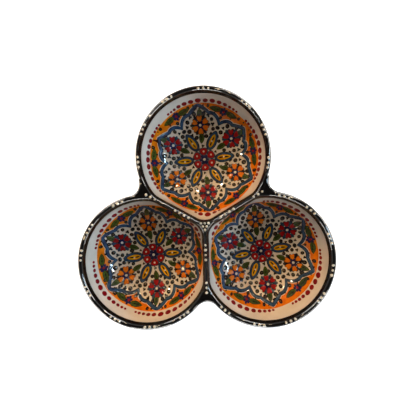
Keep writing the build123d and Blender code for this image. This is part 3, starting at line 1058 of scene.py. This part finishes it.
hub_places = [(row, column) for row in range(hub_dot_rows) for column in range(hub_dot_rows - row)]
hub_row, hub_column = np.array(hub_places).T
hub_x = (hub_column - (hub_dot_rows - 1 - hub_row) / 2) * hub_pitch
hub_y = (1 - hub_row) * hub_pitch * np.cos(side_turn)
make_dots("trailed_dots_hub", hub + np.stack([hub_x, hub_y], -1), "hub_dots")

# %% [markdown]
# ## What stays from the solids
# The foot rings and the luting keep their solids. The feet are bare, wiped clay, which
# is the glaze function again with no coat: matt, mottled in two tones, and with a finer,
# stronger bump for the grit. The luting between the bowls is under the white glaze.

# %% Bare clay and kept nodes
buff, dark_buff = (206, 176, 142), (184, 150, 116)
grit = {"ripple": 0.35, "swell": 1400, "depth": 0.3 * MM}
bare_clay = glaze("bare_clay", buff, dark_buff, grain=140, rough=0.85, coat=0.0, **grit)


def finish_node(node, material):
    """A kept node's own mesh with a finish in place of the plain one."""
    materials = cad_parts[node].data.materials
    materials.clear()
    materials.append(material)


for lobe in LOBES:
    finish_node(f"foot_ring_{lobe}", bare_clay)
for divider in DIVIDERS:
    finish_node(f"joint_web_{divider}", white_glaze)
print("kept nodes finished")

# %% [markdown]
# ## Floor and light
# The dish stands on a white floor, in a room with a cool window on the right and warm
# lamps at the back. Large fills shade it and aren't mirrored in the glaze. The window,
# the bulbs and low strips show only as reflections: sparkles in the bowls and streaks
# along the lips. The floor looks white to the camera and still takes a soft shadow.

# %% Floor
floor_half, floor_grey, floor_rough, floor_glow = 6.0, 0.86, 0.9, 0.76
white = (1, 1, 1, 1)


def floor_material():
    """Pale diffuse floor, with a little light of its own for camera and mirror rays only."""
    material = bpy.data.materials.new("floor")
    material.use_nodes = True
    tree = material.node_tree
    shader = tree.nodes["Principled BSDF"]
    grey = (floor_grey, floor_grey, floor_grey, 1)
    set_inputs(shader, {"Base Color": grey, "Roughness": floor_rough})
    set_inputs(shader, {"Specular IOR Level": 0.0, "Emission Color": white})
    rays = new_node(tree, "LightPath")
    seen, output = rays, "Is Camera Ray"
    for kind in ("Is Glossy Ray", "Is Transmission Ray"):
        either = new_node(tree, "Math", operation="MAXIMUM")
        wire(tree, seen, output, either, 0)
        wire(tree, rays, kind, either, 1)
        seen, output = either, "Value"
    level = new_node(tree, "Math", {1: floor_glow}, operation="MULTIPLY")
    wire(tree, seen, output, level, 0)
    wire(tree, level, "Value", shader, "Emission Strength")
    return material


floor_mesh = bpy.data.meshes.new("floor")
floor_corners = [(-1, -1, 0), (1, -1, 0), (1, 1, 0), (-1, 1, 0)]
floor_mesh.from_pydata(floor_half * np.array(floor_corners), [], [(0, 1, 2, 3)])
floor_mesh.materials.append(floor_material())
floor = bpy.data.objects.new("floor", floor_mesh)
bpy.context.scene.collection.objects.link(floor)
print("floor half width", floor_half, "m")

# %% Lamps
light_distance, strip_rise = 2.6, 12
BULB, STRIP = ((0.1, 0.1), 9, (1.0, 0.76, 0.48)), ((1.3, 0.3), 55, (1.0, 0.97, 0.92))
BULBS = ((177, 45), (138, 49), (121, 50), (81, 49), (71, 47), (52, 42))
STRIPS = (18, 62, 135, 215, 262, 312)
FILLS = {
    "cool_fill": (-9, 24, (0.8, 0.8), 42, (0.50, 0.76, 1.0)),
    "warm_fill": (114, 33, (1.0, 1.0), 40, (1.0, 0.58, 0.25)),
    "top_fill": (108, 50, (1.0, 1.0), 11, (1.0, 0.78, 0.50)),
    "overhead_fill": (60, 78, (1.0, 1.0), 6, (1.0, 0.86, 0.62)),
}
WINDOW = (4, 41, (0.52, 0.16), 30, (0.56, 0.80, 1.0))


def soft_light(name, azimuth, rise, size, power, colour, mirrored):
    """Soft box at an azimuth, a rise and a fixed distance: a fill for shading, or one for gloss."""
    lamp = bpy.data.lights.new(name, "AREA")
    lamp.shape = "RECTANGLE"
    lamp.size, lamp.size_y = size
    lamp.energy = power
    lamp.color = colour
    holder = bpy.data.objects.new(name, lamp)
    bpy.context.scene.collection.objects.link(holder)
    turn, rise = np.radians([azimuth, rise])
    out = np.array([np.cos(rise) * np.cos(turn), np.cos(rise) * np.sin(turn), np.sin(rise)])
    look = Vector((-out).tolist()).to_track_quat("-Z", "Y").to_matrix().to_4x4()
    holder.matrix_world = Matrix.Translation(light_distance * out) @ look
    holder.visible_glossy = mirrored
    holder.visible_diffuse = not mirrored


for name, fill in FILLS.items():
    soft_light(name, *fill, mirrored=False)
soft_light("cool_window", *WINDOW, mirrored=True)
for azimuth, rise in BULBS:
    soft_light(f"warm_bulb_{azimuth}", azimuth, rise, *BULB, mirrored=True)
for azimuth in STRIPS:
    soft_light(f"strip_{azimuth}", azimuth, strip_rise, *STRIP, mirrored=True)
print("lamps", len(bpy.data.lights))

# %% Room
ROOM_RISE = {"From Min": 0.28, "From Max": 0.64, "To Min": 1.0, "To Max": 0.06}
ROOM_SIDES = {"From Min": -0.7, "From Max": 0.7}
ROOM_HORIZON = {"From Min": 0.24, "From Max": 0.40}


def room(cool, warm, warm_azimuth):
    """World: dark overhead, white at the horizon, and between cool on one side, warm on the other."""
    world = bpy.data.worlds.new("room")
    world.use_nodes = True
    tree = world.node_tree
    background = tree.nodes["Background"]
    place = new_node(tree, "TexCoord")
    parts = new_node(tree, "SeparateXYZ")
    rise = new_node(tree, "MapRange", ROOM_RISE, interpolation_type="SMOOTHSTEP")
    warm_way = (*polar(1.0, warm_azimuth), 0)
    facing = new_node(tree, "VectorMath", {1: warm_way}, operation="DOT_PRODUCT")
    side = new_node(tree, "MapRange", ROOM_SIDES)
    tint = new_node(tree, "Mix", {"A": (*cool, 1), "B": (*warm, 1)}, data_type="RGBA")
    pale = new_node(tree, "MapRange", ROOM_HORIZON)
    plain = new_node(tree, "Mix", {"A": white}, data_type="RGBA")
    wire(tree, place, "Generated", parts, "Vector")
    wire(tree, parts, "Z", pale, "Value")
    wire(tree, pale, "Result", plain, "Factor")
    wire(tree, parts, "Z", rise, "Value")
    wire(tree, rise, "Result", background, "Strength")
    wire(tree, place, "Generated", facing, 0)
    wire(tree, facing, "Value", side, "Value")
    wire(tree, side, "Result", tint, "Factor")
    wire(tree, tint, "Result", plain, "B")
    wire(tree, plain, "Result", background, "Color")
    return world


bpy.context.scene.world = room(cool=(0.62, 0.72, 0.82), warm=(0.75, 0.65, 0.52), warm_azimuth=125)
print("room lit")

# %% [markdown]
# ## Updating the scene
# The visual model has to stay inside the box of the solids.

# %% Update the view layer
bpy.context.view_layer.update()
